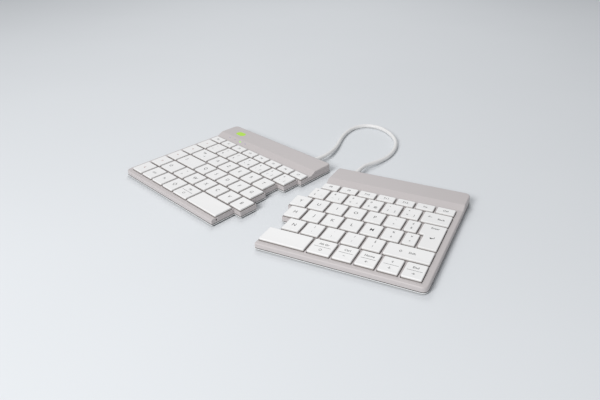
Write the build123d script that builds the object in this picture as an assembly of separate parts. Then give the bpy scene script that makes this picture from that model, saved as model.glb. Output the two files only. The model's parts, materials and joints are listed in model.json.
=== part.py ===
from build123d import *
from math import asin, atan2, degrees, radians, tan
import os

# An ergonomic keyboard in two halves, joined by a short cable behind them.
# All sizes are in millimetres. +X is to the right, +Y to the back and +Z up, and the
# keyboard stands on Z = 0. Both halves are drawn in one docked plan, in which their stepped
# edges meet, and are then turned apart about one upright axis behind them.

# Key field
key_pitch = 19.0
cap_gap = 2.5
bottom_row_extra = 1.9
function_row_depth = 12.0
opening_clearance = 0.35
key_travel = 2.0

# Keycap
cap_height = 2.6
cap_top_wall = 1.2
cap_side_wall = 1.0
cap_bevel = 0.5

# Case
foot_height = 0.9
floor_thickness = 1.2
rim_height = 1.4
rim_outset = 0.25
rim_bevel = 0.5
groove_height = 0.4
groove_depth = 0.8
shoulder_width = 1.6
case_wall = 1.5
deck_height = 7.3
case_edge_radius = 1.3
cap_top_height = 9.5
side_border = 5.0
front_border = 3.6
stepped_edge_setback = 0.3
outer_corner_radius = 5.0
inner_back_radius = 3.0
pin_hole_radius = 0.9
pin_hole_height = 5.2
pin_hole_place = 5.3

# Hood
hood_height = 10.5
slope_foot = 3.2
slope_run = 6.2
hood_flat = 22.8

# Key plate, membrane and the mechanism under each cap
plate_rib_height = 1.0
plate_rib_width = 1.2
plate_thickness = 0.8
plate_clearance = 1.1
plate_back_margin = 2.0
membrane_thickness = 0.3
membrane_margin = 0.4
lever_thickness = 0.8
lever_bar = 1.2
lever_length = 11.0
short_lever_length = 7.0
outer_lever_width = 11.4
lever_side_room = 0.3
lever_play = 0.1
dome_foot_radius = 3.1
dome_top_radius = 1.7
dome_sides = 6
mechanism_spacing = 22.0
long_key_width = 38.0

# Control boards, screws, feet, lights and sockets
board_thickness = 1.2
board_seat_height = 0.6
board_seat_width = 4.0
board_depth = 18.0
board_back_margin = 5.0
board_side_margin = 4.0
post_radius = 2.4
post_hole_radius = 0.9
post_clearance = 0.4
screw_shank_radius = 0.85
screw_head_radius = 1.7
screw_head_height = 0.6
screw_clearance = 0.15
screw_bite = 4.0
foot_length = 14.0
foot_width = 5.0
foot_recess = 0.4
foot_side_inset = 12.0
foot_end_inset = 8.0
window_length = 13.5
window_width = 7.5
window_place = 9.6
indicator_length = 2.4
indicator_width = 1.0
indicator_spacing = 9.5
indicator_count = 4
light_clearance = 0.05
socket_width = 8.9
socket_height = 3.2
socket_depth = 7.0
socket_wall = 0.3
socket_clearance = 0.15

# Cable and strain reliefs
cable_diameter = 4.5
cable_sides = 12
relief_height = 5.6
relief_base_radius = 3.1
relief_tip_radius = 2.5
relief_length = 12.0
relief_neck_radius = 2.35
relief_flange_radius = 2.8
relief_flange = 1.2
relief_clearance = 0.05
run_share = 0.45

# How the halves stand apart
splay_angle = 17.3
swing_axis_back = 181.0
overrun = 2.0

# Places along X, as shares of the key pitch from the left edge of the first number key
swing_axis_share = 7.735
left_relief_share = 5.93
right_relief_share = 8.25
window_share = 0.05
indicator_share = -0.2
socket_share = 1.6
left_post_shares = (-0.9, 5.0)
right_post_shares = (9.6, 14.2)

# Rows from front to back: where the first key starts and, from left to right, the node, the
# number of keys and the width of one of them, as shares of the key pitch
left_row_shares = [
    (-1.0, [
        ("edge_column_keys", 1, 1.0), ("control_key_left", 1, 1.0), ("fn_key", 1, 1.0),
        ("system_key_left", 1, 1.0), ("alt_key_left", 1, 1.27), ("space_key_left", 1, 2.48),
    ]),
    (-1.0, [
        ("edge_column_keys", 1, 1.0), ("shift_key_left", 1, 1.25),
        ("lower_letter_keys_left", 6, 1.0),
    ]),
    (-1.0, [
        ("edge_column_keys", 1, 1.0), ("caps_lock_key", 1, 1.75),
        ("home_letter_keys_left", 5, 1.0),
    ]),
    (-1.0, [
        ("edge_column_keys", 1, 1.0), ("tab_key", 1, 1.5), ("upper_letter_keys_left", 5, 1.0),
    ]),
    (-1.0, [("edge_column_keys", 1, 1.0), ("number_keys_left", 7, 1.0)]),
    (-1.0, [("escape_key", 1, 8.25 / 8), ("function_keys_left", 7, 8.25 / 8)]),
]
right_row_shares = [
    (6.75, [
        ("space_key_right", 1, 2.4), ("alt_gr_key", 1, 1.21),
        ("control_key_right", 1, 4.14 / 4), ("arrow_keys", 3, 4.14 / 4),
    ]),
    (7.25, [("lower_letter_keys_right", 5, 1.0), ("shift_key_right", 1, 2.25)]),
    (6.75, [
        ("home_letter_keys_right", 6, 1.0), ("narrow_key_home", 1, 0.75), ("enter_key", 1, 1.0),
    ]),
    (6.5, [
        ("upper_letter_keys_right", 6, 1.0), ("narrow_key_upper", 1, 0.75),
        ("enter_key", 1, 1.25),
    ]),
    (7.0, [("number_keys_right", 6, 1.0), ("backspace_key", 1, 1.5)]),
    (7.25, [
        ("function_keys_right", 5, 7.25 / 7), ("insert_key", 1, 7.25 / 7),
        ("delete_key", 1, 7.25 / 7),
    ]),
]

# The cable's free route from one strain relief to the other, chosen by hand
cable_run_out = 10.0
cable_route = [
    (-21.5, 103.0, 3.7),
    (-27.0, 119.5, 2.5),
    (-34.0, 136.5, 2.4),
    (-38.6, 155.5, 2.4),
    (-38.2, 173.8, 2.4),
    (-28.9, 187.0, 2.4),
    (-12.6, 190.8, 2.4),
    (5.6, 183.9, 2.4),
    (21.6, 171.7, 2.4),
    (32.4, 156.3, 2.4),
    (38.8, 138.6, 2.4),
    (40.4, 120.3, 2.5),
    (37.6, 102.0, 3.7),
]


# Heights that follow from the sizes above
floor_bottom = foot_height
floor_top = floor_bottom + floor_thickness
rim_top = floor_bottom + rim_height
wall_bottom = rim_top + groove_height
cap_bottom = cap_top_height - cap_height
cap_ceiling = cap_top_height - cap_top_wall
plate_bottom = floor_top + plate_rib_height
plate_top = plate_bottom + plate_thickness
membrane_top = plate_top + membrane_thickness
opening_bottom = cap_bottom - key_travel - opening_clearance
board_bottom = floor_top + board_seat_height
board_top = board_bottom + board_thickness
socket_middle = board_top + socket_height / 2
slope_angle = atan2(hood_height - deck_height, slope_run)

# Places in the docked plan
half_gap = cap_gap / 2
row_edges = [-bottom_row_extra] + [key_pitch * n for n in range(1, 6)]
row_edges.append(row_edges[-1] + function_row_depth)
field_back = row_edges[-1]
front_face = -bottom_row_extra - front_border
slope_start = field_back + slope_foot
crest = slope_start + slope_run
hood_back = crest + hood_flat
board_back = hood_back - board_back_margin
board_middle = board_back - board_depth / 2
post_place = board_middle


def across(share):
    """X in the docked plan of a share of the key pitch."""
    return (share - swing_axis_share) * key_pitch


def row_keys(rows):
    """Every key as (node, row, left edge, right edge), in the docked plan."""
    keys = []
    for row, (start, runs) in enumerate(rows):
        edge = start
        for node, count, width in runs:
            for _ in range(count):
                keys.append((node, row, across(edge), across(edge + width)))
                edge += width
    return keys


def row_ends(rows):
    """Where each row starts and ends."""
    ends = []
    for start, runs in rows:
        width = sum(count * share for _, count, share in runs)
        ends.append((across(start), across(start + width)))
    return ends


def box_between(x, y, z):
    """A box from three pairs of low and high limits."""
    low = (x[0], y[0], z[0])
    size = (x[1] - x[0], y[1] - y[0], z[1] - z[0])
    return Pos(*low) * Box(*size, align=(Align.MIN,) * 3)


def slab(plan, bottom, top):
    """A flat plan, extruded between two heights."""
    return Pos(0, 0, bottom) * extrude(plan, top - bottom)


def grown(plan, amount):
    """A plan with its outline moved outwards, or inwards where the amount is negative."""
    return offset(plan, amount, kind=Kind.INTERSECTION)


def half_plan(rows, side):
    """The outline of one half: side is 1 for the left half and -1 for the right half."""
    inner = [end[1] if side > 0 else end[0] for end in row_ends(rows)]
    outer = [end[0] if side > 0 else end[1] for end in row_ends(rows)]
    outer_edge = outer[0] - side * side_border
    setback = stepped_edge_setback
    points = [(outer_edge, front_face), (inner[0] - side * setback, front_face)]
    for row in range(1, len(inner)):
        outwards = side * (inner[row] - inner[row - 1]) > 0
        step = row_edges[row] + (setback if outwards else -setback)
        points.append((inner[row - 1] - side * setback, step))
        points.append((inner[row] - side * setback, step))
    points.append((inner[-1] - side * setback, hood_back))
    points.append((outer_edge, hood_back))
    face = make_face(Polyline(*points, close=True))
    by_side = face.vertices().sort_by(Axis.X, reverse=side < 0)
    face = fillet(by_side[:2], outer_corner_radius)
    back_inner = face.vertices().group_by(Axis.Y)[-1].sort_by(Axis.X, reverse=side > 0)[0]
    return fillet(back_inner, inner_back_radius)


def side_profile(inset, bottom):
    """The case seen from its end, moved inwards by a wall: deck, slope and hood."""
    front = front_face + inset
    back = hood_back - inset
    shift = inset * tan(slope_angle / 2)
    points = [
        (front, bottom),
        (front, deck_height - inset),
        (slope_start + shift, deck_height - inset),
        (crest + shift, hood_height - inset),
        (back, hood_height - inset),
        (back, bottom),
    ]
    return make_face(Polyline(*points, close=True))


def profile_bar(inset, bottom, plan):
    """The side profile, run across the whole width of a half."""
    box = plan.bounding_box()
    width = box.size.X + 2 * overrun
    bar = extrude(Plane.YZ * side_profile(inset, bottom), width)
    return Pos(box.min.X - overrun, 0, 0) * bar


def flat_rectangle(x, y):
    """A rectangle between two pairs of limits, as a plan."""
    place = Pos((x[0] + x[1]) / 2, (y[0] + y[1]) / 2, 0)
    return place * Rectangle(x[1] - x[0], y[1] - y[0])


def cap_rectangle(row, left, right):
    """The limits of one plain keycap."""
    depth = (row_edges[row] + half_gap, row_edges[row + 1] - half_gap)
    return (left + half_gap, right - half_gap), depth


def cap_plans(rows):
    """Each node's keycap plans, with the two rectangles of the Enter key joined."""
    plans = {}
    enter = []
    for node, row, left, right in row_keys(rows):
        x, y = cap_rectangle(row, left, right)
        if node == "enter_key":
            enter.append((x, y))
            continue
        plans.setdefault(node, []).append(flat_rectangle(x, y))
    if enter:
        (lower_x, lower_y), (upper_x, upper_y) = enter
        stem = flat_rectangle(lower_x, (lower_y[0], upper_y[1]))
        plans["enter_key"] = [stem + flat_rectangle(upper_x, upper_y)]
    return plans


def keycap(plan):
    """A hollow cap with bevelled top edges."""
    body = slab(plan, cap_bottom, cap_top_height)
    body = chamfer(body.edges().group_by(Axis.Z)[-1], cap_bevel)
    return body - slab(grown(plan, -cap_side_wall), cap_bottom - overrun, cap_ceiling)


def lever_frame(width, length, opens_back):
    """One lever lying flat, centred on its pivot: two arms, joined at one end."""
    frame = Box(width, length, lever_thickness)
    gap = width - 2 * lever_bar
    shift = lever_bar if opens_back else -lever_bar
    return frame - Pos(0, shift, 0) * Box(gap, length, lever_thickness + overrun)


def mechanism_places(plan):
    """The middles of the lever pairs under one cap: two under a long one."""
    middle = plan.center()
    if plan.bounding_box().size.X < long_key_width:
        return [(middle.X, middle.Y)]
    half = mechanism_spacing / 2
    return [(middle.X - half, middle.Y), (middle.X + half, middle.Y)]


def lever_widths(plan):
    """How wide the outer and the inner lever of one cap are."""
    room = plan.bounding_box().size.X - 2 * (cap_side_wall + lever_side_room)
    outer_width = min(outer_lever_width, room)
    return outer_width, outer_width - 2 * (lever_bar + lever_play)


def lever_pair(plan):
    """The outer and inner levers of one cap, crossed from the membrane to its ceiling."""
    width, inner_width = lever_widths(plan)
    deep = plan.bounding_box().size.Y > lever_length + 2 * cap_side_wall
    length = lever_length if deep else short_lever_length
    rise = cap_ceiling - membrane_top - lever_thickness - 2 * lever_play
    tilt = degrees(asin(rise / length))
    height = (cap_ceiling + membrane_top) / 2
    outer = []
    inner = []
    for x, y in mechanism_places(plan):
        place = Pos(x, y, height)
        outer.append(place * Rot(tilt, 0, 0) * lever_frame(width, length, False))
        inner.append(place * Rot(-tilt, 0, 0) * lever_frame(inner_width, length, True))
    return outer, inner


def rubber_domes(plan):
    """The domes of one cap, standing on the membrane."""
    room = lever_widths(plan)[1] / 2 - lever_bar - lever_play
    foot = RegularPolygon(min(dome_foot_radius, room), dome_sides)
    crown = RegularPolygon(min(dome_top_radius, room / 2), dome_sides)
    height = cap_ceiling - membrane_top - lever_play
    dome = loft([foot, Pos(0, 0, height) * crown], ruled=True)
    return [Pos(x, y, membrane_top) * dome for x, y in mechanism_places(plan)]


def post_places(shares):
    """The middles of the screw posts in a hood."""
    return [(across(share), post_place) for share in shares]


def relief_hole(place):
    """The hole in a back wall for a strain relief."""
    drill = Cylinder(relief_neck_radius + relief_clearance, 2 * case_wall + 2 * overrun)
    return Pos(place, hood_back, relief_height) * Rot(90, 0, 0) * drill


def outer_top_edges(case, plan, side):
    """The top edges of a case at its front, its back and its outer side."""
    box = plan.bounding_box()
    outer = box.min.X if side > 0 else box.max.X
    edges = []
    for edge in case.edges():
        middle = edge.center()
        if min(point.Z for point in edge.vertices()) < deck_height - rim_bevel:
            continue
        at_side = abs(middle.X - outer) < outer_corner_radius
        at_front = abs(middle.Y - front_face) < rim_bevel
        at_back = abs(middle.Y - hood_back) < rim_bevel
        if at_side or at_front or at_back:
            edges.append(edge)
    return edges


def top_case(plan, side, caps, posts, relief_place):
    """The moulded deck and hood of one half, hollow below, with its openings."""
    case = slab(plan, wall_bottom, hood_height) & profile_bar(0, wall_bottom, plan)
    case = fillet(outer_top_edges(case, plan, side), case_edge_radius)
    below = wall_bottom - overrun
    hollow = slab(grown(plan, -case_wall), below, hood_height)
    case -= hollow & profile_bar(case_wall, below, plan)
    openings = []
    for cap in caps:
        opening = grown(cap, opening_clearance)
        openings.append(slab(opening, opening_bottom, deck_height + overrun))
    case -= openings
    post_top = hood_height - case_wall / 2
    for x, y in posts:
        post = slab(Circle(post_radius), floor_top, post_top)
        hole = slab(Circle(post_hole_radius), floor_top, floor_top + screw_bite + overrun)
        case = case + Pos(x, y, 0) * post - Pos(x, y, 0) * hole
    return case - relief_hole(relief_place)


def board_limits(rows):
    """The sides of the control board in a hood."""
    left, right = row_ends(rows)[-1]
    return left + board_side_margin, right - board_side_margin


def board_seats(rows):
    """The middles of the four seats that carry a control board."""
    left, right = board_limits(rows)
    inset = board_seat_width / 2
    front = board_back - board_depth + inset
    back = board_back - inset
    return [(x, y) for x in (left + inset, right - inset) for y in (front, back)]


def bottom_case(plan, rows, posts, feet):
    """The tray of one half: glossy rim, shadow groove, plate ribs and board seats."""
    rim = slab(grown(plan, rim_outset), floor_bottom, rim_top)
    rim = chamfer(rim.edges().group_by(Axis.Z)[0], rim_bevel)
    tray = rim + slab(grown(plan, -groove_depth), rim_top, wall_bottom)
    inside = grown(plan, -groove_depth - shoulder_width)
    tray -= slab(inside, floor_top, wall_bottom + overrun)
    supports = []
    margin = groove_depth + shoulder_width + plate_clearance
    for row, (start, end) in enumerate(row_ends(rows)):
        middle = (row_edges[row] + row_edges[row + 1]) / 2
        width = (start + margin, end - margin)
        depth = (middle - plate_rib_width / 2, middle + plate_rib_width / 2)
        supports.append(box_between(width, depth, (floor_top, plate_bottom)))
    for x, y in board_seats(rows):
        width = (x - board_seat_width / 2, x + board_seat_width / 2)
        depth = (y - board_seat_width / 2, y + board_seat_width / 2)
        supports.append(box_between(width, depth, (floor_top, board_bottom)))
    tray += supports
    for x, y in posts:
        shank = Circle(screw_shank_radius + screw_clearance)
        head = Circle(screw_head_radius + screw_clearance)
        seat = floor_bottom + screw_head_height
        tray -= Pos(x, y, 0) * slab(shank, floor_bottom, floor_top + overrun)
        tray -= Pos(x, y, 0) * slab(head, floor_bottom - overrun, seat)
    return tray - feet


def control_board(rows, posts):
    """The board in a hood, with holes for the screw posts."""
    depth = (board_back - board_depth, board_back)
    board = box_between(board_limits(rows), depth, (board_bottom, board_top))
    for x, y in posts:
        hole = Circle(post_radius + post_clearance)
        board -= Pos(x, y, 0) * slab(hole, board_bottom - overrun, board_top + overrun)
    return board


def plate_outline(plan):
    """The plan of the key plate: the half's outline inside the tray's wall, before the hood."""
    box = plan.bounding_box()
    field = flat_rectangle((box.min.X, box.max.X), (box.min.Y, field_back + plate_back_margin))
    return grown(plan, -groove_depth - shoulder_width - plate_clearance / 2) & field


def rubber_feet(rows):
    """Four flat feet in their recesses, two at the front and two under the hood."""
    ends = row_ends(rows)
    front = front_face + foot_end_inset
    back = hood_back - foot_end_inset
    places = []
    for (left, right), y in ((ends[0], front), (ends[-1], back)):
        places.append((left + foot_side_inset, y))
        places.append((right - foot_side_inset, y))
    pad = slab(Rectangle(foot_length, foot_width), 0, foot_height + foot_recess)
    return [Pos(x, y, 0) * pad for x, y in places]


def case_screws(posts):
    """The screws that hold each tray to its top case."""
    seat = floor_bottom + screw_head_height
    head = slab(Circle(screw_head_radius), floor_bottom, seat)
    shank = slab(Circle(screw_shank_radius), seat, floor_top + screw_bite)
    return [Pos(x, y, 0) * (head + shank) for x, y in posts]


def strain_relief(place):
    """A tapered collar outside the back wall, with a neck through it and a flange inside."""
    inside = -case_wall - relief_flange
    points = [
        (0, inside),
        (relief_flange_radius, inside),
        (relief_flange_radius, -case_wall),
        (relief_neck_radius, -case_wall),
        (relief_neck_radius, 0),
        (relief_base_radius, 0),
        (relief_tip_radius, relief_length),
        (0, relief_length),
    ]
    collar = revolve(make_face(Polyline(*points, close=True)), Axis.Y)
    return Pos(place, hood_back, relief_height) * collar


def window_plan(growth):
    """The plan of the status window, on the flat of the left hood."""
    place = Pos(across(window_share), crest + window_place, 0)
    return place * SlotOverall(window_length + 2 * growth, window_width + 2 * growth)


def indicator_bars(growth, above):
    """The indicator lights, square to the slope, from its hollow side to a height above it."""
    size = (indicator_length + 2 * growth, indicator_width + 2 * growth)
    bar = box_between((0, size[0]), (0, size[1]), (-case_wall - above, above))
    bar = Pos(-size[0] / 2, -size[1] / 2, 0) * bar
    height = (deck_height + hood_height) / 2
    tilted = Rot(degrees(slope_angle), 0, 0) * bar
    start = across(indicator_share)
    bars = []
    for n in range(indicator_count):
        place = Pos(start + n * indicator_spacing, (slope_start + crest) / 2, height)
        bars.append(place * tilted)
    return bars


def usb_socket():
    """The metal shell of the host socket, open to the back, standing on the left board."""
    size = (socket_width, socket_depth, socket_height)
    shell = Box(*size) - Pos(0, socket_wall, 0) * Box(
        socket_width - 2 * socket_wall, socket_depth, socket_height - 2 * socket_wall)
    back = hood_back - socket_depth / 2
    return Pos(across(socket_share), back, socket_middle) * shell


def socket_opening():
    """The slot in the left back wall round the host socket."""
    slot = Box(
        socket_width + 2 * socket_clearance, 2 * case_wall + 2 * overrun,
        socket_height + 2 * socket_clearance)
    return Pos(across(socket_share), hood_back, socket_middle) * slot


def pin_hole(rows):
    """The small hole in the left half's stepped edge, beside the space key."""
    edge = row_ends(rows)[0][1]
    drill = Rot(0, 90, 0) * Cylinder(pin_hole_radius, 2 * half_gap)
    return Pos(edge, front_face + pin_hole_place, pin_hole_height) * drill


def build_half(name, rows, side, post_shares, relief_share):
    """Every node of one half, in the docked plan."""
    plan = half_plan(rows, side)
    plans = cap_plans(rows)
    caps = [cap for group in plans.values() for cap in group]
    posts = post_places(post_shares)
    feet = rubber_feet(rows)
    relief_place = across(relief_share)
    outer = []
    inner = []
    domes = []
    for cap in caps:
        pair = lever_pair(cap)
        outer.extend(pair[0])
        inner.extend(pair[1])
        domes.extend(rubber_domes(cap))
    plate = plate_outline(plan)
    sheet = grown(plate, -membrane_margin)
    half = {
        name + "_top_case": [top_case(plan, side, caps, posts, relief_place)],
        name + "_bottom_case": [bottom_case(plan, rows, posts, feet)],
        name + "_key_plate": [slab(plate, plate_bottom, plate_top)],
        name + "_membrane": [slab(sheet, plate_top, membrane_top)],
        name + "_rubber_domes": domes,
        name + "_outer_levers": outer,
        name + "_inner_levers": inner,
        name + "_control_board": [control_board(rows, posts)],
        name + "_rubber_feet": feet,
        name + "_case_screws": case_screws(posts),
        name + "_strain_relief": [strain_relief(relief_place)],
    }
    for node, group in plans.items():
        half[node] = [keycap(cap) for cap in group]
    return half


def dress_left(half):
    """The lights, the host socket and the pin hole, which only the left half has."""
    window = slab(window_plan(light_clearance), deck_height, hood_height + overrun)
    case = half["left_top_case"][0] - window - socket_opening() - pin_hole(left_row_shares)
    case -= indicator_bars(light_clearance, overrun)
    half["left_top_case"] = [case]
    glass = slab(window_plan(0), hood_height - case_wall, hood_height)
    half["status_window"] = [glass]
    half["indicator_lights"] = indicator_bars(0, 0)
    half["usb_socket"] = [usb_socket()]


def stood_apart(solids, side):
    """Solids of one half, turned about the swing axis to where the half stands."""
    axis = Pos(0, swing_axis_back, 0)
    back = Pos(0, -swing_axis_back, 0)
    turn = Rot(0, 0, -side * splay_angle / 2)
    return [axis * turn * back * solid for solid in solids]


def relief_tip(share, side):
    """Where the cable leaves a strain relief, and a unit vector along it."""
    mark = Pos(across(share), hood_back + relief_length, relief_height) * Vertex(0, 0, 0)
    turned = stood_apart([mark], side)[0]
    out = Vector(0, 1, 0).rotate(Axis.Z, -side * splay_angle / 2)
    return turned.center(), out


def link_cable(centre):
    """The cable between the halves: straight runs joined by the widest arcs that fit."""
    start, start_way = relief_tip(left_relief_share, 1)
    end, end_way = relief_tip(right_relief_share, -1)
    start -= centre
    end -= centre
    points = [start, start + start_way * cable_run_out]
    points += [Vector(*point) for point in cable_route]
    points += [end + end_way * cable_run_out, end]
    radii = []
    for before, corner, after in zip(points, points[1:], points[2:]):
        run_in = corner - before
        run_out = after - corner
        turn = radians(run_in.get_angle(run_out))
        radii.append(run_share * min(run_in.length, run_out.length) / tan(turn / 2))
    path = FilletPolyline(*points, radius=radii)
    section = Plane(path @ 0, z_dir=path % 0) * RegularPolygon(cable_diameter / 2, cable_sides)
    tube = sweep(section, path)
    ratio = tube.volume / (section.area * path.length)
    print("cable radii", [round(radius, 1) for radius in radii])
    print("cable length", round(path.length, 1), "volume share", round(ratio, 5))
    print("cable lowest", round(tube.bounding_box().min.Z, 3))
    return tube


def build_all():
    """Every node, standing where it belongs, with the origin under the middle of the whole."""
    left = build_half("left", left_row_shares, 1, left_post_shares, left_relief_share)
    dress_left(left)
    right = build_half("right", right_row_shares, -1, right_post_shares, right_relief_share)
    nodes = {}
    for side, half in ((1, left), (-1, right)):
        for node, solids in half.items():
            nodes[node] = all_solids(stood_apart(solids, side))
    whole = Compound([solid for group in nodes.values() for solid in group])
    middle = whole.bounding_box().center()
    centre = Vector(middle.X, middle.Y, 0)
    moved = {}
    for node, solids in nodes.items():
        moved[node] = [Pos(-centre.X, -centre.Y, 0) * solid for solid in solids]
    moved["link_cable"] = [link_cable(centre)]
    print_places(centre)
    return moved


def print_places(centre):
    """Print the places, in metres, that anyone who fits this keyboard to others needs."""
    metre = 1000 * MM
    axis = (Vector(0, swing_axis_back, 0) - centre) / metre
    print("swing axis", [round(value, 5) for value in axis])
    for name, side, rows in (("left", 1, left_row_shares), ("right", -1, right_row_shares)):
        for foot in stood_apart(rubber_feet(rows), side):
            place = (foot.center() - centre) / metre
            print(name, "foot", round(place.X, 5), round(place.Y, 5))
    mark = Pos(across(socket_share), hood_back, socket_middle) * Vertex(0, 0, 0)
    mouth = (stood_apart([mark], 1)[0].center() - centre) / metre
    print("socket mouth", [round(value, 5) for value in mouth])


def all_solids(shapes):
    """The single solids in a list of shapes."""
    found = []
    for shape in shapes:
        found.extend(shape.solids())
    return found


def main():
    """Build every node and write it to its own file."""
    os.makedirs("parts", exist_ok=True)
    for name, solids in build_all().items():
        shape = solids[0] if len(solids) == 1 else Compound(solids)
        export_step(shape, os.path.join("parts", name + ".step"))


main()
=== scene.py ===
"""The finish of a split keyboard: rounded keycaps and their legends, moulded cases, lights, cable."""

import json
import math

import bmesh
import bpy
from mathutils import Matrix, Vector


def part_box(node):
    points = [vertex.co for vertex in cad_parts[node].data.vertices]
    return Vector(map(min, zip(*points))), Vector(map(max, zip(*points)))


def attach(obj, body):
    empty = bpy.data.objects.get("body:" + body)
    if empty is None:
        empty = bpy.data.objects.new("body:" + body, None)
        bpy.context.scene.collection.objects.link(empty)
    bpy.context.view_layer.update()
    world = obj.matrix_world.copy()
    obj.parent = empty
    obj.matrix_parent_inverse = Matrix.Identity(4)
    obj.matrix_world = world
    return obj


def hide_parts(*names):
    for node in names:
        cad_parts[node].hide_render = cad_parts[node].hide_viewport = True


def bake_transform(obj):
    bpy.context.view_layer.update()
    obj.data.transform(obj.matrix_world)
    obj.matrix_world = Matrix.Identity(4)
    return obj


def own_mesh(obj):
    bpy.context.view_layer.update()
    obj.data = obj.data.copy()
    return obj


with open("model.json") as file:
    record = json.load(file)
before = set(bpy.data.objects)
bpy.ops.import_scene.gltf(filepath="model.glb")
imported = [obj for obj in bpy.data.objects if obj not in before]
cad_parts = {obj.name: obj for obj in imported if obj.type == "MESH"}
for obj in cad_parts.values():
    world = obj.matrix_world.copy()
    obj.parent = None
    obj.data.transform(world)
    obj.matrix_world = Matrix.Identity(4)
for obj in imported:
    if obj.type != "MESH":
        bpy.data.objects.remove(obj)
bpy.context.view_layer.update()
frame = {"nodes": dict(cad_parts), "record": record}

mm = 0.001
half_turn = math.radians(8.65)
merge_distance = 0.002 * mm
level_tolerance = 0.01 * mm

left_key_nodes = (
    "edge_column_keys", "control_key_left", "fn_key", "system_key_left", "alt_key_left",
    "space_key_left", "shift_key_left", "lower_letter_keys_left", "caps_lock_key",
    "home_letter_keys_left", "tab_key", "upper_letter_keys_left", "number_keys_left",
    "escape_key", "function_keys_left",
)
right_key_nodes = (
    "space_key_right", "alt_gr_key", "control_key_right", "arrow_keys",
    "lower_letter_keys_right", "shift_key_right", "home_letter_keys_right", "narrow_key_home",
    "enter_key", "upper_letter_keys_right", "narrow_key_upper", "number_keys_right",
    "backspace_key", "function_keys_right", "insert_key", "delete_key",
)


# Shader building


class Signal:
    """A shader socket that takes part in sums: each operator adds a Math node."""

    def __init__(self, finish, socket):
        self.finish = finish
        self.socket = socket

    def _math(self, operation, first, second):
        return self.finish.node("ShaderNodeMath", {"operation": operation}, {0: first, 1: second})

    def __add__(self, other):
        return self._math("ADD", self, other)

    def __sub__(self, other):
        return self._math("SUBTRACT", self, other)

    def __rsub__(self, other):
        return self._math("SUBTRACT", other, self)

    def __mul__(self, other):
        return self._math("MULTIPLY", self, other)

    __radd__ = __add__
    __rmul__ = __mul__


class Finish:
    """One material and the nodes behind it."""

    def __init__(self, name):
        self.material = bpy.data.materials.new(name)
        self.material.use_nodes = True
        self.tree = self.material.node_tree
        self.shader = self.tree.nodes["Principled BSDF"]

    def node(self, kind, settings=None, values=None, output=0):
        """Adds a node, sets it and its sockets, and gives back one of its outputs."""
        made = self.tree.nodes.new(kind)
        for name, value in (settings or {}).items():
            setattr(made, name, value)
        for name, value in (values or {}).items():
            self.feed(made.inputs[name], value)
        return Signal(self, made.outputs[output])

    def feed(self, socket, value):
        """Links a signal to a socket, or sets the socket's own value."""
        if isinstance(value, Signal):
            self.tree.links.new(value.socket, socket)
        else:
            socket.default_value = value

    def place(self):
        """Where a point of the piece is, in the piece's own space."""
        return self.node("ShaderNodeTexCoord", output=3)

    def noise(self, size, detail=3.0, roughness=0.55):
        """Noise whose blobs are about size metres across."""
        values = {"Vector": self.place(), "Scale": 1 / size, "Detail": detail, "Roughness": roughness}
        return self.node("ShaderNodeTexNoise", {}, values)

    def blend_colours(self, share, first, second):
        """A colour between two others."""
        return self.node(
            "ShaderNodeMix", {"data_type": "RGBA"}, {0: share, 6: first, 7: second}, output=2)

    def height_of(self):
        """How high a point of the piece is at rest."""
        return self.node("ShaderNodeSeparateXYZ", {}, {"Vector": self.place()}, output=2)

    def compare(self, operation, value, *limits):
        """One where a Math node's comparison holds, and zero elsewhere."""
        sockets = dict(enumerate((value, *limits)))
        return self.node("ShaderNodeMath", {"operation": operation}, sockets)

    def bump(self, height, depth):
        """Feeds the surface's small relief, depth metres deep."""
        relief = self.node("ShaderNodeBump", {}, {"Distance": depth, "Height": height})
        self.feed(self.shader.inputs["Normal"], relief)

    def set(self, **values):
        """Sets or links the shader's own sockets, named with underscores for blanks."""
        for name, value in values.items():
            self.feed(self.shader.inputs[name.replace("_", " ")], value)
        return self


cloud_size = 18 * mm
cap_grain = 0.25 * mm
cap_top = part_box("enter_key")[1].z
# Heights over which painted shade darkens the cap sides in the gaps between keys.
painted_gap_shade_heights = (cap_top - 2.2 * mm, cap_top - 0.7 * mm)
# The painted shade colour of the cap sides low in the gaps.
painted_gap_shade_colour = (0.20, 0.175, 0.16, 1)
# Above this height the tray gets painted shade in the seam; below bevel_height it gets a painted
# shadow.
seam_height = 2.28 * mm
bevel_height = 1.45 * mm
lens_green = (0.3, 0.8, 0.05, 1)
lens_glow = (0.3, 0.9, 0.05, 1)
unlit = (0, 0, 0, 1)


def grey(level, warmth=0.0):
    """A near-grey colour, a little warmer or cooler."""
    return (level * (1 + warmth), level, level * (1 - warmth), 1.0)


def cap_plastic():
    """Cap plastic: fine grained on top, and duller and darker down in the gaps between keys, where
    shade is painted into its colour.
    """
    finish = Finish("cap_plastic")
    clouds = finish.noise(cloud_size, detail=2.0)
    spark = finish.noise(cap_grain, detail=4.0, roughness=0.65)
    low, high = painted_gap_shade_heights
    # Painted shade: the share of shade colour grows lower down the cap sides, in the gaps between
    # keys.
    depth = finish.node(
        "ShaderNodeMapRange", {"interpolation_type": "SMOOTHSTEP"},
        {"Value": finish.height_of(), "From Min": low, "From Max": high, "To Min": 1.0, "To Max": 0.0})
    top = finish.blend_colours(clouds * 0.6 + spark * 0.4, grey(0.80, 0.01), grey(0.84, 0.008))
    finish.set(Base_Color=finish.blend_colours(depth, top, painted_gap_shade_colour))
    finish.set(Roughness=0.45 + 0.12 * (clouds - 0.5) + 0.1 * (spark - 0.5))
    finish.bump(spark, 0.012 * mm)
    return finish.material


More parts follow.
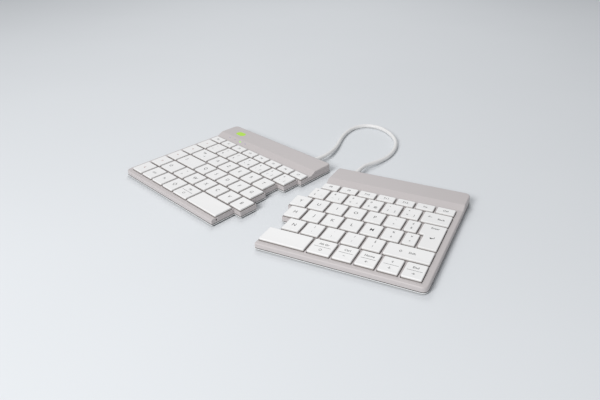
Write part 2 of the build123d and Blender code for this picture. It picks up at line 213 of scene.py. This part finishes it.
def moulded(name, light, dark, roughness, grain, depth, coat=0.0):
    """Moulded plastic: a faint cloudiness, a fine grain and slightly uneven gloss."""
    finish = Finish(name)
    clouds = finish.noise(cloud_size, detail=2.0)
    spark = finish.noise(grain, detail=4.0, roughness=0.65)
    colour = finish.blend_colours(clouds * 0.6 + spark * 0.4, dark, light)
    finish.set(Base_Color=colour, Roughness=roughness + 0.12 * (clouds - 0.5) + 0.1 * (spark - 0.5))
    finish.set(Coat_Weight=coat)
    finish.shader.inputs["Coat Roughness"].default_value = 0.12
    finish.bump(spark, depth)
    return finish.material


def tray():
    """The tray's gloss white rim, with painted shade in the seam over it and a painted shadow under
    its bevel.
    """
    finish = Finish("tray_gloss")
    clouds = finish.noise(20 * mm, detail=2.0)
    height = finish.height_of()
    # Painted shade on the shoulder in the seam above the rim.
    over = finish.compare("GREATER_THAN", height, seam_height)
    # Painted shadow on the underside below the bevel.
    under = finish.compare("LESS_THAN", height, bevel_height)
    white = finish.blend_colours(clouds, grey(0.74), grey(0.8))
    # Both masks paint the rim near black where shade and shadow fall.
    finish.set(Base_Color=finish.blend_colours(over + under, white, grey(0.035)))
    finish.set(Roughness=0.14 + 0.06 * clouds, Coat_Weight=0.6)
    finish.shader.inputs["Coat Roughness"].default_value = 0.08
    finish.bump(finish.noise(0.8 * mm), 0.003 * mm)
    return finish.material


def status_lights(first, spacing):
    """Small light pipes on the slope: the third one is lit green, the others are dim."""
    finish = Finish("indicator_lens")
    across = finish.node("ShaderNodeSeparateXYZ", {}, {"Vector": finish.place()})
    near = finish.compare("COMPARE", across, first + 2 * spacing, spacing / 2)
    dim = finish.blend_colours(finish.noise(1 * mm), (0.42, 0.38, 0.5, 1), (0.46, 0.42, 0.54, 1))
    colour = finish.blend_colours(near, dim, lens_green)
    glow = finish.blend_colours(near, unlit, lens_glow)
    finish.set(Base_Color=colour, Emission_Color=glow, Emission_Strength=0.5, Roughness=0.25)
    return finish.material


def metal(name, colour, roughness, grain):
    """Plain metal with fine drawn scratches."""
    finish = Finish(name)
    stretched = finish.node(
        "ShaderNodeMapping", {}, {"Vector": finish.place(), "Scale": (1.0, 14.0, 14.0)})
    scratches = finish.node(
        "ShaderNodeTexNoise", {}, {"Vector": stretched, "Scale": 1 / grain, "Detail": 4.0})
    finish.set(Base_Color=colour, Metallic=1.0, Roughness=roughness + 0.2 * (scratches - 0.5))
    finish.bump(scratches, 0.01 * mm)
    return finish.material


def lit(name, colour, glow, strength):
    """A lens over a lamp, a little cloudy."""
    finish = Finish(name)
    clouds = finish.noise(2.5 * mm)
    inside = finish.blend_colours(clouds, glow, colour)
    finish.set(Base_Color=inside, Emission_Color=inside, Emission_Strength=strength)
    finish.set(Roughness=0.18, Coat_Weight=0.5)
    return finish.material


def board_laminate():
    """Green solder mask with faint tracks."""
    finish = Finish("board_laminate")
    tracks = finish.node(
        "ShaderNodeTexBrick", {}, {"Vector": finish.place(), "Scale": 160.0, "Mortar Size": 0.03})
    mask = finish.node("ShaderNodeRGBToBW", {}, {"Color": tracks})
    colour = finish.blend_colours(mask, (0.01, 0.09, 0.03, 1), (0.02, 0.16, 0.06, 1))
    finish.set(Base_Color=colour, Roughness=0.35)
    finish.bump(mask, 0.02 * mm)
    return finish.material


first_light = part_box("indicator_lights")[0].x + 1.2 * mm
light_spacing = 9.4 * mm

finishes = {
    "cap_plastic": cap_plastic(),
    "case_plastic": moulded(
        "case_plastic", (0.54, 0.502, 0.498, 1), (0.51, 0.474, 0.47, 1), 0.5, 0.3 * mm, 0.02 * mm),
    "tray_gloss": tray(),
    "plate_steel": metal("plate_steel", grey(0.55), 0.35, 0.6 * mm),
    "screw_steel": metal("screw_steel", grey(0.5), 0.3, 0.3 * mm),
    "socket_steel": metal("socket_steel", grey(0.62), 0.22, 0.3 * mm),
    "membrane_film": moulded(
        "membrane_film", grey(0.6, 0.02), grey(0.55, 0.02), 0.4, 0.5 * mm, 0.01 * mm),
    "dome_rubber": moulded(
        "dome_rubber", grey(0.7, 0.01), grey(0.64, 0.01), 0.6, 0.3 * mm, 0.01 * mm),
    "lever_plastic": moulded(
        "lever_plastic", grey(0.82), grey(0.78), 0.35, 0.3 * mm, 0.01 * mm),
    "board_laminate": board_laminate(),
    "foot_rubber": moulded(
        "foot_rubber", grey(0.2), grey(0.16), 0.7, 0.2 * mm, 0.03 * mm),
    "cable_jacket": moulded(
        "cable_jacket", grey(0.8, 0.01), grey(0.76, 0.012), 0.42, 0.4 * mm, 0.01 * mm),
    "window_lens": lit("window_lens", (0.27, 0.5, 0.02, 1), (0.42, 0.68, 0.04, 1), 0.35),
    "indicator_lens": status_lights(first_light, light_spacing),
    "legend_ink": moulded("legend_ink", grey(0.14), grey(0.1), 0.55, 0.2 * mm, 0.004 * mm),
    "red_ink": moulded(
        "red_ink", (0.34, 0.1, 0.08, 1), (0.28, 0.08, 0.07, 1), 0.55, 0.2 * mm, 0.004 * mm),
}


def dress_frame():
    """Every carried-over piece takes the finish of its record slot."""
    for part in frame["record"]["subparts"]:
        node = frame["nodes"][part["node"]]
        node.data.materials.clear()
        node.data.materials.append(finishes[part["material_slot"]])


# Keycaps

cap_bevel = 0.5 * mm
cap_taper = 0.12 * mm
cap_corner = 1.1 * mm
cap_round = 0.42 * mm
cap_dish = 0.06 * mm
cap_wall = 1.0 * mm
cap_roof = 1.2 * mm
round_start = 0.1 * mm
dish_steps = ((0.7 * mm, 0.25), (1.4 * mm, 1.0))
least_corner = 0.1 * mm
corner_steps = 6
round_steps = 4
straight_limit = 0.01
column_width = 4 * mm
smooth_limit = math.radians(32)


def to_plan(point, side):
    """A point of one half, turned back to where the key rows run along X."""
    return Matrix.Rotation(side * half_turn, 3, "Z") @ point


def islands(model):
    """The separate solids of a mesh, each as a list of its vertices."""
    seen = set()
    found = []
    for start in model.verts:
        if start in seen:
            continue
        island = [start]
        seen.add(start)
        for vert in island:
            for edge in vert.link_edges:
                other = edge.other_vert(vert)
                if other not in seen:
                    seen.add(other)
                    island.append(other)
        found.append(island)
    return found


def cap_outlines(node, side):
    """Each cap of a node, as (outline of its sides in the plan, bottom, top)."""
    model = bmesh.new()
    model.from_mesh(frame["nodes"][node].data)
    bmesh.ops.remove_doubles(model, verts=model.verts, dist=merge_distance)
    caps = []
    for island in islands(model):
        top = max(vert.co.z for vert in island)
        bottom = min(vert.co.z for vert in island)
        faces = {
            face for vert in island for face in vert.link_faces
            if all(corner.co.z > top - level_tolerance for corner in face.verts)
        }
        rim = {}
        for face in faces:
            for loop in face.loops:
                if not any(other.face in faces for other in loop.link_loops if other != loop):
                    rim[loop.vert] = loop.link_loop_next.vert
        first = next(iter(rim))
        ring = [first]
        while rim[ring[-1]] != first:
            ring.append(rim[ring[-1]])
        points = [to_plan(vert.co, side) for vert in ring]
        caps.append((grown(straightened(points), cap_bevel), bottom, top))
    model.free()
    caps.sort(key=lambda cap: (round(middle_of(cap[0]).x / column_width), middle_of(cap[0]).y))
    return caps


def middle_of(points):
    """The middle of the box round some points."""
    across = [point.x for point in points]
    along = [point.y for point in points]
    return Vector(((min(across) + max(across)) / 2, (min(along) + max(along)) / 2))


def extent(outline):
    """The middle of a cap's outline, half its width and half its depth."""
    middle = middle_of(outline)
    return middle, max(p.x for p in outline) - middle.x, max(p.y for p in outline) - middle.y


def straightened(points):
    """The corners of an outline, without points that lie on a straight side."""
    corners = []
    for index, point in enumerate(points):
        into = (point - points[index - 1]).xy
        out = (points[(index + 1) % len(points)] - point).xy
        if abs(into.cross(out)) > straight_limit * into.length * out.length:
            corners.append(point.xy.copy())
    return corners


def corner_turns(points):
    """Each corner as (point, direction in, direction out, +1 where it turns left)."""
    corners = []
    for index, point in enumerate(points):
        into = (point - points[index - 1]).normalized()
        out = (points[(index + 1) % len(points)] - point).normalized()
        corners.append((point, into, out, 1 if into.cross(out) > 0 else -1))
    return corners


def grown(points, amount):
    """An outline, run anticlockwise, with its sides moved outwards."""
    moved = []
    for point, into, out, _ in corner_turns(points):
        sideways = Vector((into.y, -into.x)) + Vector((out.y, -out.x))
        moved.append(point + sideways * amount / (1 + into.dot(out)))
    return moved


def rounded(points, inset, radius):
    """An outline moved inwards and rounded at its corners, always with as many points."""
    ring = []
    for point, into, out, turn in corner_turns(grown(points, -inset)):
        reach = max(radius - turn * inset, least_corner)
        angle = into.angle(out)
        tangent = reach * math.tan(angle / 2)
        start = point - into * tangent
        centre = start + Vector((-into.y, into.x)) * reach * turn
        for step in range(corner_steps + 1):
            swing = Matrix.Rotation(turn * angle * step / corner_steps, 2)
            ring.append(centre + swing @ (start - centre))
    return ring


def skin_rings(model, rings):
    """Joins rings of points into one skin, with a face over each end."""
    made = [[model.verts.new(point) for point in ring] for ring in rings]
    for lower, upper in zip(made, made[1:]):
        for index in range(len(lower)):
            after = (index + 1) % len(lower)
            model.faces.new((lower[index], lower[after], upper[after], upper[index]))
    model.faces.new(reversed(made[0]))
    model.faces.new(made[-1])


def mesh_piece(name, model, slot, finish=None):
    """An object from mesh code, in its slot's finish or in another one."""
    mesh = bpy.data.meshes.new(name)
    bmesh.ops.recalc_face_normals(model, faces=model.faces)
    model.to_mesh(mesh)
    model.free()
    for face in mesh.polygons:
        face.use_smooth = True
    mesh.set_sharp_from_angle(angle=smooth_limit)
    piece = bpy.data.objects.new(name, mesh)
    bpy.context.scene.collection.objects.link(piece)
    mesh.materials.append(finishes[finish or slot])
    return piece


def keycap_piece(node, side):
    """The rounded caps of one node, which stand for its plain ones."""
    model = bmesh.new()
    for outline, bottom, top in cap_outlines(node, side):
        levels = [(cap_wall, top - cap_roof), (cap_wall, bottom), (0.0, bottom)]
        levels.append((cap_taper, top - cap_round - round_start))
        for step in range(round_steps + 1):
            angle = math.radians(90) * step / round_steps
            levels.append((
                cap_taper + cap_round * (1 - math.cos(angle)),
                top - cap_round * (1 - math.sin(angle)),
            ))
        for inward, depth in dish_steps:
            levels.append((cap_taper + cap_round + inward, top - cap_dish * depth))
        rings = []
        for inset, height in levels:
            ring = rounded(outline, inset, cap_corner)
            rings.append([to_plan(Vector((p.x, p.y, height)), -side) for p in ring])
        skin_rings(model, rings)
    piece = mesh_piece(node + "_caps", model, "cap_plastic")
    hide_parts(node)
    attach(piece, node)
    return piece


# What is under the caps

mechanisms = {"domes": ("dome_rubber", ("rubber_domes",)),
              "levers": ("lever_plastic", ("outer_levers", "inner_levers"))}


def mechanism_piece(node, side, kind):
    """The domes or levers under the caps of one node."""
    slot, sources = mechanisms[kind]
    half = "left_" if side > 0 else "right_"
    boxes = [extent(outline) for outline, _, _ in cap_outlines(node, side)]
    model = bmesh.new()
    for source in sources:
        model.from_mesh(frame["nodes"][half + source].data)
    bmesh.ops.remove_doubles(model, verts=model.verts, dist=merge_distance)
    away = []
    for island in islands(model):
        spot = middle_of([to_plan(vert.co, side) for vert in island])
        if not any(abs(spot.x - m.x) < w and abs(spot.y - m.y) < d for m, w, d in boxes):
            away += island
    bmesh.ops.delete(model, geom=away, context="VERTS")
    piece = mesh_piece(node + "_" + kind, model, slot)
    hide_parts(*[half + source for source in sources])
    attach(piece, half + "half")
    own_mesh(piece)
    return piece


# Legends: (text, place across, place along, height), in shares of half a cap and in mm

letter_height = 4.0
small_height = 2.7
word_height = 2.6
back = 0.42
front = -0.4
on_left = -0.4
on_right = 0.42


def letters(row):
    """One centred letter a cap."""
    return [[(letter, 0.0, 0.0, letter_height)] for letter in row]


def pairs(rows):
    """A mark at the back and one at the front of each cap."""
    return [
        [(upper, 0.0, back, small_height), (lower, 0.0, front, small_height)]
        for upper, lower in rows
    ]


def numbers(rows):
    """A number at the back and its other mark at the front, with a third beside it."""
    caps = []
    for upper, lower, third in rows:
        marks = [(upper, on_left, back, small_height), (lower, on_left, front, small_height)]
        if third:
            marks.append((third, on_right, front, small_height))
        caps.append(marks)
    return caps


def words(*lines):
    """Words over one another on one cap, with a thin rule between two of them."""
    if len(lines) == 1:
        return [[(lines[0], 0.0, 0.0, word_height)]]
    return [split_cap((lines[0], word_height), (lines[1], word_height))]


def split_cap(upper, lower):
    """A text at the back and one at the front, each with its height, and a rule between them."""
    return [(upper[0], 0.0, back, upper[1]), ("rule", 0.0, 0.0, 0.0), (lower[0], 0.0, -back, lower[1])]


legends = {
    "edge_column_keys": [[(mark, 0.0, 0.0, small_height)] for mark in "↓↑←→×"],
    "control_key_left": words("Ctrl"),
    "fn_key": words("Fn"),
    "system_key_left": [[("◇", 0.0, 0.0, letter_height)]],
    "alt_key_left": words("Alt", "○"),
    "shift_key_left": [[("⇧", -0.3, 0.0, letter_height)]],
    "lower_letter_keys_left": pairs([("<", ">")]) + letters("WXCVB"),
    "caps_lock_key": [[("⇩", -0.55, 0.0, letter_height)]],
    "home_letter_keys_left": letters("QSDFG"),
    "tab_key": [[("Tab", -0.3, 0.3, small_height), ("→", 0.2, -0.35, small_height)]],
    "upper_letter_keys_left": letters("AZERT"),
    "number_keys_left": numbers([
        ("~", "²", ""), ("1", "&", ""), ("2", "é", ""), ("3", "\"", "#"),
        ("4", "'", "{"), ("5", "(", "["), ("6", "-", "|"),
    ]),
    "escape_key": words("Esc"),
    "function_keys_left": [[(f"F{number}", 0.0, 0.0, small_height)] for number in range(1, 8)],
    "alt_gr_key": words("Alt Gr", "○"),
    "control_key_right": words("Ctrl", "~"),
    "arrow_keys": [
        split_cap((upper, small_height), (lower, small_height))
        for upper, lower in (("Home", "←"), ("↑", "↓"), ("End", "→"))
    ],
    "lower_letter_keys_right": letters("N") + pairs([("?", ","), (".", ";"), ("/", ":"), ("§", "!")]),
    "shift_key_right": [[("⇧", -0.35, 0.0, small_height), ("Shift", 0.15, 0.0, word_height)]],
    "home_letter_keys_right": letters("HJKLM") + pairs([("%", "ù")]),
    "narrow_key_home": pairs([("µ", "*")]),
    "enter_key": [[("Enter", 0.12, 0.72, word_height), ("↵", 0.2, -0.1, letter_height)]],
    "upper_letter_keys_right": letters("YUIOP") + pairs([("¨", "^")]),
    "narrow_key_upper": pairs([("£", "$")]),
    "number_keys_right": numbers([
        ("7", "è", "`"), ("8", "_", "\\"), ("9", "ç", "^"), ("0", "à", "@"),
        ("°", ")", "]"), ("+", "=", "}"),
    ]),
    "backspace_key": [[("←", -0.5, 0.1, letter_height), ("Back", 0.35, -0.05, word_height)]],
    "function_keys_right": [[(f"F{number}", 0.0, 0.0, small_height)] for number in range(8, 13)],
    "insert_key": words("Ins"),
    "delete_key": words("Del"),
}
ink_depth = 0.02 * mm
ink_weight = 0.045 * mm
rule_width = 0.36 * mm
rule_reach = 1.5
text_size = 1.35


def text_mesh(text, height):
    """One legend as a thin mesh, centred on its own middle."""
    curve = bpy.data.curves.new("legend", "FONT")
    curve.body = text
    curve.size = height * mm * text_size
    curve.extrude = ink_depth
    curve.offset = ink_weight
    curve.resolution_u = 3
    holder = bpy.data.objects.new("legend", curve)
    bpy.context.scene.collection.objects.link(holder)
    bpy.context.view_layer.update()
    mesh = bpy.data.meshes.new_from_object(holder)
    bpy.data.objects.remove(holder)
    if mesh.vertices:
        xs = [vert.co.x for vert in mesh.vertices]
        ys = [vert.co.y for vert in mesh.vertices]
        shift = Vector(((min(xs) + max(xs)) / 2, (min(ys) + max(ys)) / 2, 0))
        mesh.transform(Matrix.Translation(-shift))
    return mesh


def rule_mesh(width):
    """The thin line between two words."""
    mesh = bpy.data.meshes.new("rule")
    bar = bmesh.new()
    bmesh.ops.create_cube(bar, size=1.0)
    bmesh.ops.scale(bar, vec=(width, rule_width, ink_depth * 2), verts=bar.verts)
    bar.to_mesh(mesh)
    bar.free()
    return mesh


def legend_piece(node, side):
    """All the legends of one node, printed on its caps."""
    model = bmesh.new()
    turn = Matrix.Rotation(-side * half_turn, 4, "Z")
    for (outline, _, top), marks in zip(cap_outlines(node, side), legends[node]):
        middle, half_width, half_depth = extent(outline)
        height = top - cap_dish + ink_depth / 2
        for text, across, along, size in marks:
            place = Vector((middle.x + across * half_width, middle.y + along * half_depth, height))
            is_rule = text == "rule"
            mesh = rule_mesh(half_width * rule_reach) if is_rule else text_mesh(text, size)
            mesh.transform(turn @ Matrix.Translation(place))
            model.from_mesh(mesh)
            bpy.data.meshes.remove(mesh)
    ink = "red_ink" if node == "edge_column_keys" else "legend_ink"
    piece = mesh_piece(node + "_legends", model, "cap_plastic", ink)
    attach(piece, node)
    return piece


def keys():
    """Caps, legends and what is under the caps, of both halves."""
    for side, nodes in ((1, left_key_nodes), (-1, right_key_nodes)):
        for node in nodes:
            keycap_piece(node, side)
            for kind in mechanisms:
                mechanism_piece(node, side, kind)
            if node in legends:
                legend_piece(node, side)


# Cable: the same route as the solid's, written in millimetres and turned to metres where it is used

cable_run_out = 10.0
cable_route = (
    (-21.5, 103.0, 3.7),
    (-27.0, 119.5, 2.5),
    (-34.0, 136.5, 2.4),
    (-38.6, 155.5, 2.4),
    (-38.2, 173.8, 2.4),
    (-28.9, 187.0, 2.4),
    (-12.6, 190.8, 2.4),
    (5.6, 183.9, 2.4),
    (21.6, 171.7, 2.4),
    (32.4, 156.3, 2.4),
    (38.8, 138.6, 2.4),
    (40.4, 120.3, 2.5),
    (37.6, 102.0, 3.7),
)
cable_diameter = 4.5 * mm
cable_sides = 24
cable_divisions = 12


def relief_tip(side):
    """Where the cable leaves a strain relief, worked out from the relief, and the way it points:
    straight back along the half.
    """
    relief = frame["nodes"]["left_strain_relief" if side > 0 else "right_strain_relief"]
    points = [to_plan(vert.co, side) for vert in relief.data.vertices]
    furthest = max(point.y for point in points)
    tip = [point for point in points if point.y > furthest - level_tolerance]
    middle = sum(tip, Vector()) / len(tip)
    across = middle_of(tip).x
    height = (max(point.z for point in tip) + min(point.z for point in tip)) / 2
    way = Vector((0, 1, 0))
    return to_plan(Vector((across, middle.y, height)), -side), to_plan(way, -side)


def cable_spline():
    """The cable's smooth centreline, as points read from its spline."""
    start, start_way = relief_tip(1)
    end, end_way = relief_tip(-1)
    points = [start, start + start_way * cable_run_out * mm]
    points += [Vector(point) * mm for point in cable_route]
    points += [end + end_way * cable_run_out * mm, end]
    curve = bpy.data.curves.new("cable_line", "CURVE")
    curve.dimensions = "3D"
    curve.resolution_u = cable_divisions
    spline = curve.splines.new("NURBS")
    spline.points.add(len(points) - 1)
    for point, place in zip(spline.points, points):
        point.co = (place.x, place.y, place.z, 1.0)
    spline.order_u = 3
    spline.use_endpoint_u = True
    holder = bpy.data.objects.new("cable_line", curve)
    bpy.context.scene.collection.objects.link(holder)
    bpy.context.view_layer.update()
    line = bpy.data.meshes.new_from_object(holder)
    path = [vert.co.copy() for vert in line.vertices]
    bpy.data.objects.remove(holder)
    return path


def cable():
    """The link cable, a smooth tube that curves between the halves."""
    path = cable_spline()
    model = bmesh.new()
    rings = []
    for index, place in enumerate(path):
        before = path[max(index - 1, 0)]
        after = path[min(index + 1, len(path) - 1)]
        way = (after - before).normalized()
        sideways = way.cross(Vector((0, 0, 1))).normalized()
        upwards = sideways.cross(way)
        ring = []
        for step in range(cable_sides):
            angle = 2 * math.pi * step / cable_sides
            outwards = sideways * math.cos(angle) + upwards * math.sin(angle)
            ring.append(place + outwards * cable_diameter / 2)
        rings.append(ring)
    skin_rings(model, rings)
    piece = mesh_piece("link_cable_tube", model, "cable_jacket")
    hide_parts("link_cable")
    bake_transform(piece)
    return piece


# Room, lights and camera

photo_width = 600
photo_height = 400
focal_pixels = 522.68
optical_centre = (380.0, 150.0)
camera_place = (299.68, -345.96, 271.05)
camera_turn = (64.092, -0.5506, 30.243)
sensor_width = 36.0
floor_reach = 6.0
floor_clouds = 400 * mm
lamp_size = 0.7


def camera():
    """The photograph's camera."""
    data = bpy.data.cameras.new("camera")
    data.sensor_width = sensor_width
    data.lens = focal_pixels / photo_width * sensor_width
    data.shift_x = (photo_width / 2 - optical_centre[0]) / photo_width
    data.shift_y = (optical_centre[1] - photo_height / 2) / photo_width
    data.clip_start = 0.01
    holder = bpy.data.objects.new("camera", data)
    bpy.context.scene.collection.objects.link(holder)
    holder.location = Vector(camera_place) * mm
    holder.rotation_euler = [math.radians(angle) for angle in camera_turn]
    bpy.context.scene.camera = holder


def floor():
    """A plain pale floor."""
    model = bmesh.new()
    bmesh.ops.create_grid(model, x_segments=2, y_segments=2, size=floor_reach)
    mesh = bpy.data.meshes.new("floor")
    model.to_mesh(mesh)
    model.free()
    piece = bpy.data.objects.new("floor", mesh)
    bpy.context.scene.collection.objects.link(piece)
    finish = Finish("floor_paper")
    clouds = finish.noise(floor_clouds, detail=2.0)
    finish.set(Base_Color=finish.blend_colours(clouds, (0.70, 0.72, 0.74, 1), (0.74, 0.76, 0.78, 1)))
    finish.set(Roughness=0.9)
    mesh.materials.append(finish.material)


def area_light(name, place, power):
    """A soft square lamp that faces the middle of the part's frame."""
    data = bpy.data.lights.new(name, "AREA")
    data.size = lamp_size
    data.energy = power
    holder = bpy.data.objects.new(name, data)
    bpy.context.scene.collection.objects.link(holder)
    holder.location = place
    way = -Vector(place)
    holder.rotation_euler = way.to_track_quat("-Z", "Y").to_euler()


def lights():
    """A soft light from the front and a weaker one from behind, over an even room light."""
    world = bpy.data.worlds.new("room")
    bpy.context.scene.world = world
    world.use_nodes = True
    background = world.node_tree.nodes["Background"]
    background.inputs["Color"].default_value = (0.95, 0.97, 1.0, 1)
    background.inputs["Strength"].default_value = 0.42
    area_light("key_light", (-0.05, -1.25, 1.0), 19)
    area_light("back_light", (-0.7, 0.9, 1.2), 6)


def main():
    """The whole scene."""
    camera()
    cable()
    dress_frame()
    keys()
    floor()
    lights()
    bpy.context.scene.view_settings.view_transform = "Standard"


main()
